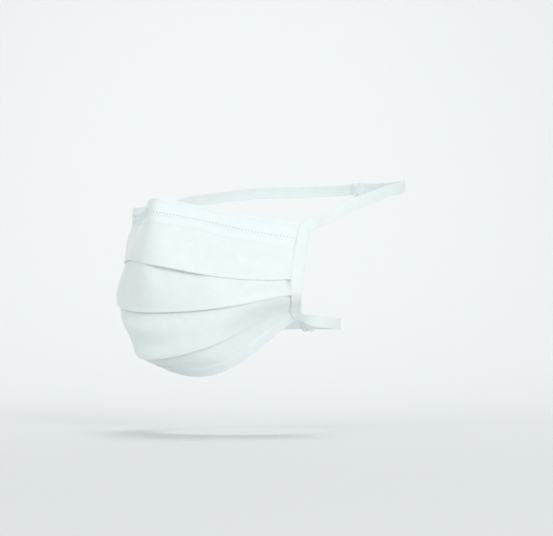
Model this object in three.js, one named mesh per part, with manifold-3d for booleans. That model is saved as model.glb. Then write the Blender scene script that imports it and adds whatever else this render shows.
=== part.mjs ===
// Tie-on surgical face mask with three pleats, in the form it takes when it is worn.
// Millimetres. +Z is up, the mask faces -Y and +X is the wearer's left.
// The origin is the inner face of the top edge, where it sits on the bridge of the nose.

import * as THREE from 'three';
import Module from 'manifold-3d';

const wasm = await Module();
wasm.setup();

// Form of the worn mask
const halfWidth = 64.4; // middle to a side edge, measured straight across
const reachBack = 72.4; // front of the cup to the bottom corners
const dropHeight = 101.8; // top edge to bottom edge at the middle
const noseLift = 14; // how far the nose pushes the middle of the top edge forward
const noseSpread = 13; // how wide that bump is, from its middle

// Cloth and pleats
const clothThick = 1;
const layerGap = 0.3; // air between two layers of one pleat
const pleatAtSide = 9.5; // how far a fold lies over the next panel at the side edges
const pleatAtMiddle = 3.4; // the same where the pleats are drawn open
const pressedThick = 0.4; // one layer where the sides are pressed together
const pressedGap = 0.1;
const pressRun = 11; // the pleats flatten over this length towards the side strip
const pressLead = 1; // they are flat this far before the strip
const pressHold = 2; // and run this far into it, to the pressed margin

// Hems and nose wire
const topHemDepth = 14.5;
const bottomHemDepth = 8;
const hemWall = 1;
const wireLength = 100;
const wireWidth = 3;
const wireThick = 0.8;
const wireDrop = 1.8; // top edge to the upper edge of the wire

// Folded strips that bind the sides and run on as ties
const stripWall = 1;
const stripWidth = 6.5; // how wide the strip lies on the front of the mask
const tieWidth = 7;
const tieThick = 2; // the strip folded double
const tieRootDrop = 3; // corner of the mask to the middle of the tie
const tieBlend = 22; // a tie turns from the side of the mask to lie on the head over this length

// Way of the ties round the head and the neck
const headHalfWidth = 75;
const headHalfLength = 96;
const headCentreBack = 110; // origin to the middle of the head
const upperTieRise = 17.5; // height of the upper knot over the origin
const neckHalfWidth = 50;
const neckHalfLength = 58;
const neckCentreBack = 91;
const lowerTieDrop = 71.2; // depth of the lower knot under the origin

// Knots
const knotLength = 11;
const knotWall = 1.8;

// Clearances
const fitGap = 0.3; // between two pieces that are fixed together
const edgeGap = 0.5; // round the edge of the pressed cloth, inside the fold of a side strip
const strapGap = 0.6; // between the ends of the two ties inside a knot

// Lines that the cloth is folded on, from the top edge to the bottom edge, each as half a curve.
// Shares of halfWidth: side_out, flat. Shares of reachBack: mid_back, side_back, turn.
// Shares of dropHeight: mid_down, side_down, lift, slant. Shares of noseLift and noseSpread: nose,
// spread. turn_deg is the way in which the line runs out at the side edge. right_slant and right_rise,
// shares of dropHeight, are for the right side of the face, where the mask sits a little askew.
const foldLines = [
  { name: 'top_edge', mid_back: 0.1685, mid_down: 0, side_out: 1, side_back: 0.77, side_down: 0.142,
    flat: 0.264, turn: 0.193, turn_deg: 56, lift: 0.029, slant: 0.031, nose: 1, spread: 1,
    right_slant: 0, right_rise: 0.125 },
  { name: 'upper_fold', mid_back: -0.044, mid_down: 0.375, side_out: 0.997, side_back: 0.727, side_down: 0.45,
    flat: 0.51, turn: 0.35, turn_deg: 56, lift: 0.019, slant: 0.049, nose: 0.43, spread: 1.15,
    right_slant: 0.049, right_rise: 0.05 },
  { name: 'middle_fold', mid_back: 0.004, mid_down: 0.644, side_out: 0.964, side_back: 0.75, side_down: 0.554,
    flat: 0.84, turn: 0.193, turn_deg: 68, lift: 0.035, slant: 0.004, nose: 0.14, spread: 1.4,
    right_slant: 0.004, right_rise: 0.02 },
  { name: 'lower_fold', mid_back: 0.062, mid_down: 0.906, side_out: 0.841, side_back: 0.888, side_down: 0.624,
    flat: 0.68, turn: 0.21, turn_deg: 48, lift: -0.008, slant: -0.029, nose: 0, spread: 1,
    right_slant: -0.029, right_rise: 0.02 },
  { name: 'bottom_edge', mid_back: 0.304, mid_down: 1, side_out: 0.721, side_back: 0.984, side_down: 0.683,
    flat: 0.58, turn: 0.193, turn_deg: 55, lift: -0.038, slant: 0.031, nose: 0, spread: 1,
    right_slant: 0.031, right_rise: 0.02 },
];

// Height of the left and the right tie round the head, as a share of upperTieRise, against the turn
// from the ear (0) to the back (90 degrees)
const upperTieHeights = [
  { turn: -22, left: -0.48, right: -0.24 },
  { turn: -13, left: -0.114, right: -0.03 },
  { turn: -2, left: 0.177, right: 0.19 },
  { turn: 9, left: 0.463, right: 0.463 },
  { turn: 39, left: 0.863, right: 0.863 },
  { turn: 90, left: 1, right: 1 },
];

// The same round the neck, as a share of lowerTieDrop
const lowerTieHeights = [
  { turn: -4, left: -0.99, right: -0.99 },
  { turn: 15, left: -1.005, right: -1.005 },
  { turn: 45, left: -1.005, right: -1.005 },
  { turn: 90, left: -1, right: -1 },
];

// Small tools
const mix = (a, b, share) => a + (b - a) * share;
const ease = (share) => THREE.MathUtils.smoothstep(share, 0, 1);
const hemHalf = clothThick / 2 + fitGap + hemWall;
const panels = foldLines.length - 1;

// Half of a fold line as a curve from the middle to the side edge, walked by length
function halfLine(row) {
  const turn = THREE.MathUtils.degToRad(row.turn_deg);
  const mid = new THREE.Vector3(0, row.mid_back * reachBack, -row.mid_down * dropHeight);
  const side = new THREE.Vector3(row.side_out * halfWidth, row.side_back * reachBack, -row.side_down * dropHeight);
  const handle = new THREE.Vector3(row.flat * halfWidth, mid.y, mid.z);
  const back = new THREE.Vector3(
    side.x - row.turn * reachBack * Math.cos(turn),
    side.y - row.turn * reachBack * Math.sin(turn),
    side.z + row.lift * dropHeight,
  );
  const curve = new THREE.CubicBezierCurve3(mid, handle, back, side);
  const points = curve.getPoints(240);
  for (const point of points) {
    point.y -= row.nose * noseLift * Math.exp(-((point.x / (row.spread * noseSpread)) ** 2));
  }
  const walked = [0];
  for (let i = 1; i < points.length; i += 1) {
    walked.push(walked[i - 1] + points[i].distanceTo(points[i - 1]));
  }
  return { row, points, walked, length: walked[walked.length - 1] };
}

const halfLines = foldLines.map(halfLine);
const halfSpan = halfLines.reduce((sum, line) => sum + line.length, 0) / halfLines.length;
const seatBack = foldLines[0].mid_back * reachBack - foldLines[0].nose * noseLift + hemHalf;

// Point on a fold line at a share of its half length: -1 is the right side edge, 1 the left
function linePoint(line, across) {
  const share = Math.abs(across);
  if (share > 1) {
    const edge = linePoint(line, Math.sign(across));
    const before = linePoint(line, Math.sign(across) * 0.98);
    return edge.clone().addScaledVector(edge.clone().sub(before), (share - 1) / 0.02);
  }
  const want = share * line.length;
  let i = 1;
  while (i < line.walked.length - 1 && line.walked[i] < want) i += 1;
  const part = (want - line.walked[i - 1]) / (line.walked[i] - line.walked[i - 1]);
  const point = line.points[i - 1].clone().lerp(line.points[i], part);
  const sideways = Math.sign(across) || 1;
  point.x *= sideways;
  point.y -= seatBack;
  const slant = sideways > 0 ? line.row.slant : line.row.right_slant;
  point.z -= sideways * slant * dropHeight * Math.sin(Math.PI * share);
  if (sideways < 0) point.z += line.row.right_rise * dropHeight * Math.sin((Math.PI / 2) * share) ** 4.5;
  return point;
}

// Cut down through the mask at one place across: its five fold points and the curve through them
const cuts = new Map();
function cutAt(across) {
  const key = across.toFixed(6);
  if (!cuts.has(key)) {
    const points = halfLines.map((line) => linePoint(line, across));
    const curve = new THREE.CatmullRomCurve3(points, false, 'centripetal');
    const lengths = points.slice(1).map((point, i) => point.distanceTo(points[i]));
    cuts.set(key, { points, curve, lengths });
  }
  return cuts.get(key);
}

// Outer surface that the folds touch. down runs from 0 at the top edge to 4 at the bottom edge.
function surface(across, down) {
  const { curve } = cutAt(across);
  const inside = Math.min(Math.max(down, 0), panels);
  const point = curve.getPoint(inside / panels);
  if (inside === down) return point;
  const step = 0.02;
  const before = curve.getPoint((inside - Math.sign(down - inside) * step) / panels);
  return point.clone().addScaledVector(point.clone().sub(before), Math.abs(down - inside) / step);
}

function outward(across, down) {
  const side = surface(across + 0.004, down).sub(surface(across - 0.004, down));
  const fall = surface(across, down + 0.03).sub(surface(across, down - 0.03));
  return fall.cross(side).normalize();
}

const place = (across, down, out) => surface(across, down).addScaledVector(outward(across, down), out);

// Share across for a distance in from the side edge, and share down for one from the top or bottom
const acrossFromSide = (distance) => 1 - distance / halfSpan;
const downFromTop = (across, distance) => distance / cutAt(across).lengths[0];
const downFromBottom = (across, distance) => panels - distance / cutAt(across).lengths[panels - 1];

// Solid skin over rings of points. A ring runs out along one face of a band and back along the
// other, so an end is closed by a strip between its first and its second half.
function loft(rings) {
  const count = rings[0].length;
  const faces = [];
  for (let r = 0; r + 1 < rings.length; r += 1) {
    for (let i = 0; i < count; i += 1) {
      const j = (i + 1) % count;
      const a = r * count + i;
      const b = r * count + j;
      const c = a + count;
      const d = b + count;
      faces.push([a, b, d], [a, d, c]);
    }
  }
  const last = (rings.length - 1) * count;
  for (let i = 0; i + 1 < count / 2; i += 1) {
    const [a, b, c, d] = [i, i + 1, count - 2 - i, count - 1 - i];
    faces.push([c, b, a], [d, c, a], [last + a, last + b, last + c], [last + a, last + c, last + d]);
  }
  const points = rings.flat();
  const volume = faces.reduce((sum, [a, b, c]) => sum + points[a].dot(points[b].clone().cross(points[c])), 0);
  const index = faces.flatMap(([a, b, c]) => (volume > 0 ? [a, b, c] : [a, c, b]));
  return new wasm.Manifold(new wasm.Mesh({
    numProp: 3,
    vertProperties: new Float32Array(points.flatMap((point) => point.toArray())),
    triVerts: new Uint32Array(index),
  }));
}

function meshOf(name, solid, material) {
  const { vertProperties, triVerts } = solid.getMesh();
  const geometry = new THREE.BufferGeometry();
  geometry.setAttribute('position', new THREE.BufferAttribute(new Float32Array(vertProperties), 3));
  geometry.setIndex(new THREE.BufferAttribute(new Uint32Array(triVerts), 1));
  geometry.computeVertexNormals();
  const mesh = new THREE.Mesh(geometry, material);
  mesh.name = name;
  return mesh;
}

// Stations across the mask, closer together at the nose
const stationCount = 34;
function stations(end, count) {
  const shares = [];
  for (let i = 0; i <= count; i += 1) {
    const u = (2 * i) / count - 1;
    shares.push(end * (0.8 * u + 0.2 * u ** 3));
  }
  return shares;
}

// Level of a panel behind the outer surface. Each fold lies on top of the next panel, so a panel
// starts two layers deep and comes out to the surface at its own fold.
function panelLevel(panel, down, pitch) {
  if (panel === 1) return 0;
  if (down >= panel - 1) return -2 * pitch * (panel - down);
  return panelLevel(panel - 1, down, pitch) - 2 * pitch;
}

// How far the pleats are pressed at a place across: 0 in the open cloth, 1 at the side strip
function pressAt(across) {
  const free = (1 - Math.abs(across)) * halfSpan - stripWidth - pressLead;
  return 1 - ease(free / pressRun);
}

const pleatAt = (across) => mix(pleatAtMiddle, pleatAtSide, Math.abs(across) ** 1.5);

// Depth of the pressed stack at the side edge, from its front to its back
const edgePitch = pressedThick + pressedGap;
const edgeFront = pressedThick / 2;
const edgeBack = Math.min(...[2, 3, 4].map((panel) => {
  const start = panel - 1 - pleatAtSide / cutAt(1).lengths[panel - 2];
  return panelLevel(panel, start, edgePitch);
})) - pressedThick / 2;
const edgeMiddle = (edgeFront + edgeBack) / 2;

// The hems hold the cloth at these distances from the edges of the mask
const clothTopDrop = wireDrop + wireWidth + 2 * fitGap;
const clothBottomRise = hemWall + edgeGap;

// Outline of the pleated cloth in one cut: down the front of every layer and up the back
function pleatOutline(across) {
  const press = pressAt(across);
  const thick = mix(clothThick, pressedThick, press);
  const pitch = thick + mix(layerGap, pressedGap, press);
  const { lengths } = cutAt(across);
  const front = [];
  const back = [];
  const samples = [5, 4, 4, 4];
  for (let panel = 1; panel <= panels; panel += 1) {
    const level = (down) => panelLevel(panel, down, pitch);
    const radius = (pitch + thick) / 2;
    const pleatStart = panel - 1 - pleatAt(across) / (lengths[panel - 2] ?? 1);
    const top = panel === 1 ? downFromTop(across, clothTopDrop) : pleatStart + radius / lengths[panel - 2];
    const foldRound = radius / lengths[panel - 1];
    const end = panel === panels ? downFromBottom(across, clothBottomRise) : panel - foldRound;
    for (let i = 0; i <= samples[panel - 1]; i += 1) {
      const down = mix(top, end, i / samples[panel - 1]);
      front.push([down, level(down) + thick / 2]);
      back.push([down, level(down) - thick / 2]);
    }
    if (panel < panels) {
      const hidden = panel - pleatAt(across) / lengths[panel - 1];
      front.push([panel, level(panel) - pitch / 2]);
      for (const down of [end, hidden + foldRound]) {
        front.push([down, level(down) - pitch - thick / 2]);
        back.push([down, level(down) - pitch + thick / 2]);
      }
      back.push([hidden, level(hidden) - 1.5 * pitch]);
    }
  }
  return [...front, ...back.reverse()];
}

function loftAcross(shares, outlineAt) {
  const rings = shares.map((across) => outlineAt(across).map(([down, out]) => place(across, down, out)));
  return loft(rings);
}

// Stops down a side edge, inside the closed corners of the strip
const edgeStops = [...Array(17).keys()].map((i) => mix(
  downFromTop(1, stripWall + edgeGap), downFromBottom(1, stripWall + edgeGap), i / 16,
));

// Pressed margin of the cloth inside a side strip
function pressedMargin(side) {
  const shares = [stripWidth - pressHold / 8, stripWidth / 2, 0].map((distance) => side * acrossFromSide(distance));
  return loftAcross(shares, () => [
    ...edgeStops.map((down) => [down, edgeFront]),
    ...edgeStops.toReversed().map((down) => [down, edgeBack]),
  ]);
}

function maskBody() {
  const end = acrossFromSide(stripWidth - pressHold);
  const open = stations(acrossFromSide(stripWidth + pressLead), stationCount);
  const pleats = loftAcross([-end, ...open, end], pleatOutline);
  return pleats.add(pressedMargin(1)).add(pressedMargin(-1));
}

// Turned-over strip in the form of a narrow U round an edge of the cloth
const hemEnd = acrossFromSide(stripWidth + fitGap + 0.1);
const hemSlot = clothThick / 2 + fitGap;

function hemOutline(depth, downAt, levelAt) {
  const flap = [depth, depth * 0.7, depth * 0.4, hemWall];
  const outside = [
    ...flap.map((distance) => [distance, hemHalf]),
    [hemWall * 0.25, hemHalf * 0.65], [0, 0], [hemWall * 0.25, -hemHalf * 0.65],
    ...flap.toReversed().map((distance) => [distance, -hemHalf]),
  ];
  const inside = [
    ...flap.map((distance) => [distance, hemSlot]),
    [hemWall, hemSlot / 2], [hemWall, 0], [hemWall, -hemSlot / 2],
    ...flap.toReversed().map((distance) => [distance, -hemSlot]),
  ];
  const ring = [...outside, ...inside.toReversed()];
  return ring.map(([distance, out]) => [downAt(distance), levelAt(downAt(distance)) + out]);
}

function topHem() {
  return loftAcross(stations(hemEnd, stationCount), (across) => (
    hemOutline(topHemDepth, (distance) => downFromTop(across, distance), () => 0)
  ));
}

function bottomHem() {
  return loftAcross(stations(hemEnd, stationCount), (across) => {
    const press = pressAt(across);
    const pitch = mix(clothThick + layerGap, edgePitch, press);
    const level = (down) => panelLevel(panels, down, pitch);
    return hemOutline(bottomHemDepth, (distance) => downFromBottom(across, distance), level);
  });
}

// Flat wire in the pocket of the top hem
function noseWire() {
  const end = wireLength / 2 / halfLines[0].length;
  return loftAcross(stations(end, 28), (across) => {
    const top = downFromTop(across, wireDrop);
    const bottom = downFromTop(across, wireDrop + wireWidth);
    return [[top, wireThick / 2], [bottom, wireThick / 2], [bottom, -wireThick / 2], [top, -wireThick / 2]];
  });
}

// Skin over sections that lie across the side edge: distance in from the edge, and level
function loftDown(side, downs, section) {
  const rings = downs.map((down) => section.map(([distance, out]) => (
    place(side * acrossFromSide(distance), down, out)
  )));
  return loft(rings);
}

// Strip folded round a side edge, closed at both corners where it turns into a tie
function sideBinding(side) {
  const front = edgeFront + fitGap;
  const back = edgeBack - fitGap;
  const rim = -(edgeGap + stripWall);
  const channel = loftDown(side, [0, ...edgeStops, panels], [
    [stripWidth, front + stripWall], [stripWidth / 2, front + stripWall], [rim, front + stripWall],
    [rim, back - stripWall], [stripWidth / 2, back - stripWall], [stripWidth, back - stripWall],
    [stripWidth, back], [stripWidth / 2, back], [-edgeGap, back],
    [-edgeGap, front], [stripWidth / 2, front], [stripWidth, front],
  ]);
  // The blocks that close the corners end inside the wall of the strip
  const inset = stripWall / 2;
  const block = [
    [stripWidth - inset, front + inset], [rim + inset, front + inset],
    [rim + inset, back - inset], [stripWidth - inset, back - inset],
  ];
  const edge = side * acrossFromSide(0);
  const topCorner = loftDown(side, [inset, stripWall].map((depth) => downFromTop(edge, depth)), block);
  const bottomCorner = loftDown(side, [stripWall, inset].map((depth) => downFromBottom(edge, depth)), block);
  return channel.add(topCorner).add(bottomCorner);
}

// Loop that a tie follows behind the ears: an oval with a height for every turn
const headLoop = {
  halfWidth: headHalfWidth, halfLength: headHalfLength, back: headCentreBack,
  heights: upperTieHeights, unit: upperTieRise,
};
const neckLoop = {
  halfWidth: neckHalfWidth, halfLength: neckHalfLength, back: neckCentreBack,
  heights: lowerTieHeights, unit: lowerTieDrop,
};

function loopHeight(loop, side, turn) {
  const rows = loop.heights;
  const column = side > 0 ? 'left' : 'right';
  let i = 1;
  while (i < rows.length - 1 && rows[i].turn < turn) i += 1;
  const share = (turn - rows[i - 1].turn) / (rows[i].turn - rows[i - 1].turn);
  return loop.unit * mix(rows[i - 1][column], rows[i][column], share);
}

function loopPoint(loop, side, turn) {
  const angle = THREE.MathUtils.degToRad(turn);
  return new THREE.Vector3(
    side * loop.halfWidth * Math.cos(angle),
    loop.back + loop.halfLength * Math.sin(angle),
    loopHeight(loop, side, turn),
  );
}

const loopOutward = (loop, point) => new THREE.Vector3(
  point.x / loop.halfWidth ** 2,
  (point.y - loop.back) / loop.halfLength ** 2,
  0,
).normalize();

// Flat tie from a corner of the mask round to the back, its end just short of the middle
function tie(side, loop, rootDown) {
  const edge = side * acrossFromSide(-(edgeGap + stripWall / 2));
  const root = place(edge, rootDown, edgeMiddle);
  const rootOutward = outward(side, rootDown);
  const rootWide = surface(edge, rootDown + 0.1).sub(surface(edge, rootDown - 0.1)).normalize();
  rootWide.multiplyScalar(side);
  const first = loop.heights[0].turn;
  const last = 90 - THREE.MathUtils.radToDeg(strapGap / 2 / loop.halfWidth);
  const steps = Math.round((last - first) / 8);
  const stops = [...Array(steps + 1).keys()].map((i) => loopPoint(loop, side, mix(first, last, i / steps)));
  const path = new THREE.CatmullRomCurve3([root, ...stops], false, 'centripetal');
  const pathLength = path.getLength();
  const count = Math.round(pathLength / 6.5);
  const half = [tieWidth / 2, tieThick / 2];
  const corners = [[1, 1], [-1, 1], [-1, -1], [1, -1]].map(([w, t]) => [w * half[0], t * half[1]]);
  const rings = [];
  for (let i = 0; i <= count; i += 1) {
    const point = path.getPointAt(i / count);
    const along = path.getTangentAt(i / count);
    const share = ease(Math.min((pathLength * i) / count / tieBlend, 1));
    const out = rootOutward.clone().lerp(loopOutward(loop, point), share).normalize();
    const square = along.clone().cross(out).normalize();
    const wide = rootWide.clone().lerp(square, share).normalize();
    const face = wide.clone().cross(along).normalize();
    rings.push(corners.map(([w, t]) => point.clone().addScaledVector(wide, w).addScaledVector(face, t)));
  }
  return loft(rings);
}

function tieStrip(side) {
  const upper = tie(side, headLoop, downFromTop(side, tieRootDrop));
  const lower = tie(side, neckLoop, downFromBottom(side, tieRootDrop));
  return sideBinding(side).add(upper).add(lower);
}

// Plain rounded knot round the two tie ends, with a slot that follows them
function knot(loop) {
  const slotHalf = [tieThick / 2 + fitGap, tieWidth / 2 + fitGap];
  const outerHalf = slotHalf.map((half) => half + knotWall);
  const square = [[1, 1], [-1, 1], [-1, -1], [1, -1]];
  const round = [...Array(16).keys()].map((i) => {
    const angle = (Math.PI * (i + 0.5)) / 8;
    return [Math.cos(angle), Math.sin(angle)].map((value) => Math.sign(value) * Math.abs(value) ** 0.6);
  });
  const ringAt = (x, size, half, outline) => {
    const turn = THREE.MathUtils.radToDeg(Math.acos(Math.abs(x) / loop.halfWidth));
    const centre = loopPoint(loop, 1, turn);
    return outline.map(([y, z]) => new THREE.Vector3(
      x, centre.y + y * half[0] * size, centre.z + z * half[1] * size,
    ));
  };
  const swell = [[-1, 0.85], [-0.7, 0.97], [0, 1], [0.7, 0.97], [1, 0.85]];
  const body = loft(swell.map(([x, size]) => ringAt((x * knotLength) / 2, size, outerHalf, round)));
  const slot = loft([-1.1, -0.5, 0, 0.5, 1.1].map((x) => ringAt((x * knotLength) / 2, 1, slotHalf, square)));
  return body.subtract(slot);
}

// Materials
const pleatCloth = new THREE.MeshStandardMaterial({ color: 0xf0f3f5, roughness: 0.88, metalness: 0 });
const hemCloth = new THREE.MeshStandardMaterial({ color: 0xf3f5f7, roughness: 0.88, metalness: 0 });
const stripCloth = new THREE.MeshStandardMaterial({ color: 0xf6f7f8, roughness: 0.85, metalness: 0 });
const wireMetal = new THREE.MeshStandardMaterial({ color: 0xb8bcc0, roughness: 0.45, metalness: 0.9 });

const mask = new THREE.Group();
mask.add(
  meshOf('mask_body', maskBody(), pleatCloth),
  meshOf('top_hem', topHem(), hemCloth.clone()),
  meshOf('bottom_hem', bottomHem(), hemCloth),
  meshOf('nose_wire', noseWire(), wireMetal),
  meshOf('tie_strip_left', tieStrip(1), stripCloth),
  meshOf('tie_strip_right', tieStrip(-1), stripCloth.clone()),
  meshOf('upper_knot', knot(headLoop), stripCloth.clone()),
  meshOf('lower_knot', knot(neckLoop), stripCloth.clone()),
);

export default mask;
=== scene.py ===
import math

import bpy
import numpy as np
from mathutils import Matrix


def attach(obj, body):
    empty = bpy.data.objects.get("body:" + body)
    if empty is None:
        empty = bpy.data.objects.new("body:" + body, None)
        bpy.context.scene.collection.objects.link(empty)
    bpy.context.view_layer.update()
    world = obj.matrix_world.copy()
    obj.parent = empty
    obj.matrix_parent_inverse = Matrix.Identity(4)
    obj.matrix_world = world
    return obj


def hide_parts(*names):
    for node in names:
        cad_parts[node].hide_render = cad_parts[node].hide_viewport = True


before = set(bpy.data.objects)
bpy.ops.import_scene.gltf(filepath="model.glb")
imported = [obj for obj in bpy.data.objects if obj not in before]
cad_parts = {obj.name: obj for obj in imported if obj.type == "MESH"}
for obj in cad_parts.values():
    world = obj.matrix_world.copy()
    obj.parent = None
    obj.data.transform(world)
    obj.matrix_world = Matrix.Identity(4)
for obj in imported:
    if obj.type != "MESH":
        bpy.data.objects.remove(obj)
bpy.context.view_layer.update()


# Pleated cloth of the mask
# One sheet of white nonwoven cloth, folded into three flat pleats that open in the middle, with a
# ridge where the wire bends it. It is pressed flat along both sides, where folded strips hold it.

HALF_WIDTH, REACH_BACK, DROP_HEIGHT = 0.0644, 0.0724, 0.1018
RIDGE_LIFT, RIDGE_SPREAD, HEM_HALF = 0.014, 0.013, 0.0018
FOLD_LINES = [  # from the middle of each line to its side edge, in shares of the sizes above
    dict(mid_back=0.1685, mid_down=0, side_out=1, side_back=0.77, side_down=0.142,
         flat=0.264, turn=0.193, turn_deg=56, lift=0.029, slant=0.031, ridge=1, spread=1,
         right_slant=0, right_rise=0.125),
    dict(mid_back=-0.044, mid_down=0.375, side_out=0.997, side_back=0.727, side_down=0.45,
         flat=0.51, turn=0.35, turn_deg=56, lift=0.019, slant=0.049, ridge=0.43, spread=1.15,
         right_slant=0.049, right_rise=0.05),
    dict(mid_back=0.004, mid_down=0.644, side_out=0.964, side_back=0.75, side_down=0.554,
         flat=0.84, turn=0.193, turn_deg=68, lift=0.035, slant=0.004, ridge=0.14, spread=1.4,
         right_slant=0.004, right_rise=0.02),
    dict(mid_back=0.062, mid_down=0.906, side_out=0.841, side_back=0.888, side_down=0.624,
         flat=0.68, turn=0.21, turn_deg=48, lift=-0.008, slant=-0.029, ridge=0, spread=1,
         right_slant=-0.029, right_rise=0.02),
    dict(mid_back=0.304, mid_down=1, side_out=0.721, side_back=0.984, side_down=0.683,
         flat=0.58, turn=0.193, turn_deg=55, lift=-0.038, slant=0.031, ridge=0, spread=1,
         right_slant=0.031, right_rise=0.02),
]
SOFT_PLACES = [  # ridges (out above 0) and hollows in the worn cloth, in metres
    dict(across=-0.24, down=0.60, wide=0.13, tall=0.50, out=0.0028),
    dict(across=-0.74, down=0.58, wide=0.13, tall=0.30, out=0.0020),
    dict(across=-0.45, down=0.45, wide=0.10, tall=0.28, out=-0.0006),
    dict(across=0.11, down=0.70, wide=0.10, tall=0.40, out=0.0013),
    dict(across=0.33, down=0.60, wide=0.12, tall=0.28, out=-0.0012),
    dict(across=0.62, down=0.50, wide=0.16, tall=0.30, out=0.0006),
    dict(across=-0.10, down=1.50, wide=0.10, tall=0.50, out=0.0013),
    dict(across=-0.20, down=2.28, wide=0.30, tall=0.20, out=0.0024),
    dict(across=-0.10, down=2.68, wide=0.28, tall=0.20, out=-0.0016),
    dict(across=0.40, down=2.50, wide=0.18, tall=0.35, out=0.0007),
    dict(across=0.10, down=3.40, wide=0.14, tall=0.40, out=-0.0010),
    dict(across=0.35, down=3.40, wide=0.12, tall=0.40, out=0.0010),
]
PANELS = 4
LINE_SAMPLES = 241
EDGE_STEP, PROBE_ACROSS, PROBE_DOWN = 0.02, 0.004, 0.03  # shares, for slopes of the surface
RIGHT_RISE_POWER = 4.5  # the right side rises late, close to its edge
SEAT_BACK = FOLD_LINES[0]["mid_back"] * REACH_BACK - RIDGE_LIFT + HEM_HALF
STRIP_WIDTH = 0.0065
CLOTH_THICK, PRESSED_THICK = 0.00032, 0.00028
LAYER_PITCH, PRESSED_PITCH = 0.00046, 0.00036
PRESS_LEAD, PRESS_RUN = 0.001, 0.011
PRESSED_BEND = 3.2  # a pressed panel comes forward late, close to its own fold
PLEAT_SIDE, PLEAT_MIDDLE = 0.0095, 0.0034
CLOTH_TOP, CLOTH_BOTTOM, CLOTH_SIDE = 0.0056, 0.0016, 0.0022
RIPPLE = 0.0004
CALM_TOP, CALM_SIDE, CALM_RUN = 0.5, 0.91, 0.15  # no ripple near the top hem and the strips
FOLD_STEP, MIDDLE_STEP = 0.00095, {2: 0.0019, 3: 0.0017}
MIDDLE_HALF, MIDDLE_FADE = 0.38, 0.4
FIRST_OPENING = dict(out=0.0032, start=-0.05, rise=0.16, end=0.20, fall=0.22)  # on the left of the ridge
NOTCH_FROM_STRIP, NOTCH_WIDTH, NOTCH_UNDER = 0.0025, 0.0011, 0.0010
NOTCH_LENGTH, NOTCH_DEPTH = (0.0042, 0.0028, 0.0018), (0.0015, 0.0012, 0.0008)
CLOTH_COLUMNS, PANEL_ROWS, PLEAT_ROWS = 190, (40, 26, 28, 22), 7
U_TURN = np.radians([60, 30, 0, -30, -60])


def mix(a, b, share):
    return a + (b - a) * share


def ease(share):
    share = np.clip(share, 0, 1)
    return share * share * (3 - 2 * share)


def bell(x, middle, width):
    return np.exp(-(((x - middle) / width) ** 2))


def walk(points):
    """Distance walked to each of the points."""
    return np.concatenate([[0], np.cumsum(np.linalg.norm(np.diff(points, axis=0), axis=1))])


def half_line(row):
    """Left half of a fold line: its row, points along it, and the distance walked to each."""
    turn = math.radians(row["turn_deg"])
    mid = np.array([0, row["mid_back"] * REACH_BACK, -row["mid_down"] * DROP_HEIGHT])
    side = np.array([row["side_out"] * HALF_WIDTH, row["side_back"] * REACH_BACK,
                     -row["side_down"] * DROP_HEIGHT])
    handle = np.array([row["flat"] * HALF_WIDTH, mid[1], mid[2]])
    reach = row["turn"] * REACH_BACK
    back = side - np.array([reach * math.cos(turn), reach * math.sin(turn), -row["lift"] * DROP_HEIGHT])
    t = np.linspace(0, 1, LINE_SAMPLES)[:, None]
    points = (1 - t) ** 3 * mid + 3 * (1 - t) ** 2 * t * handle + 3 * (1 - t) * t ** 2 * back + t ** 3 * side
    points[:, 1] -= row["ridge"] * RIDGE_LIFT * bell(points[:, 0], 0, row["spread"] * RIDGE_SPREAD)
    return row, points, walk(points)


HALF_LINES = [half_line(row) for row in FOLD_LINES]
HALF_SPAN = sum(walked[-1] for _, _, walked in HALF_LINES) / len(HALF_LINES)


def line_point(line, across):
    """Points on a fold line: across runs from -1 at the right side edge to 1 at the left."""
    row, points, walked = line
    share = np.abs(across)
    sign = np.where(across < 0, -1.0, 1.0)

    def at(part):
        return np.stack([np.interp(part * walked[-1], walked, points[:, k]) for k in range(3)], -1)

    point = at(np.minimum(share, 1))
    beyond = np.maximum(share - 1, 0)[..., None]
    point = point + (at(np.ones_like(share)) - at(np.full_like(share, 1 - EDGE_STEP))) * beyond / EDGE_STEP
    point[..., 0] *= sign
    point[..., 1] -= SEAT_BACK
    swing = np.where(share > 1, -np.pi * (share - 1), np.sin(np.pi * np.minimum(share, 1)))
    point[..., 2] -= sign * np.where(sign > 0, row["slant"], row["right_slant"]) * DROP_HEIGHT * swing
    rise = np.sin(np.pi / 2 * np.minimum(share, 1)) ** RIGHT_RISE_POWER * (sign < 0)
    point[..., 2] += row["right_rise"] * DROP_HEIGHT * rise
    return point


def spline(stops, part):
    """Smooth curve through stops (n, ..., 3) at part, from 0 to n - 1."""
    last = len(stops) - 1
    index = np.clip(np.floor(part).astype(int), 0, last - 1)
    weight = (part - index)[..., None]
    ends = np.concatenate([[2 * stops[0] - stops[1]], stops, [2 * stops[-1] - stops[-2]]])

    def stop(shift):
        if ends.ndim == 2:
            return ends[index + shift]
        return ends[(index + shift, *np.indices(index.shape))]

    def apart(a, b):
        return np.sqrt(np.linalg.norm(b - a, axis=-1, keepdims=True))

    p0, p1, p2, p3 = (stop(shift) for shift in range(4))
    d0, d1, d2 = apart(p0, p1), apart(p1, p2), apart(p2, p3)
    m1 = ((p1 - p0) / d0 - (p2 - p0) / (d0 + d1) + (p2 - p1) / d1) * d1
    m2 = ((p2 - p1) / d1 - (p3 - p1) / (d1 + d2) + (p3 - p2) / d2) * d1
    return (p1 + m1 * weight + (-3 * p1 + 3 * p2 - 2 * m1 - m2) * weight ** 2
            + (2 * p1 - 2 * p2 + m1 + m2) * weight ** 3)


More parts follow.
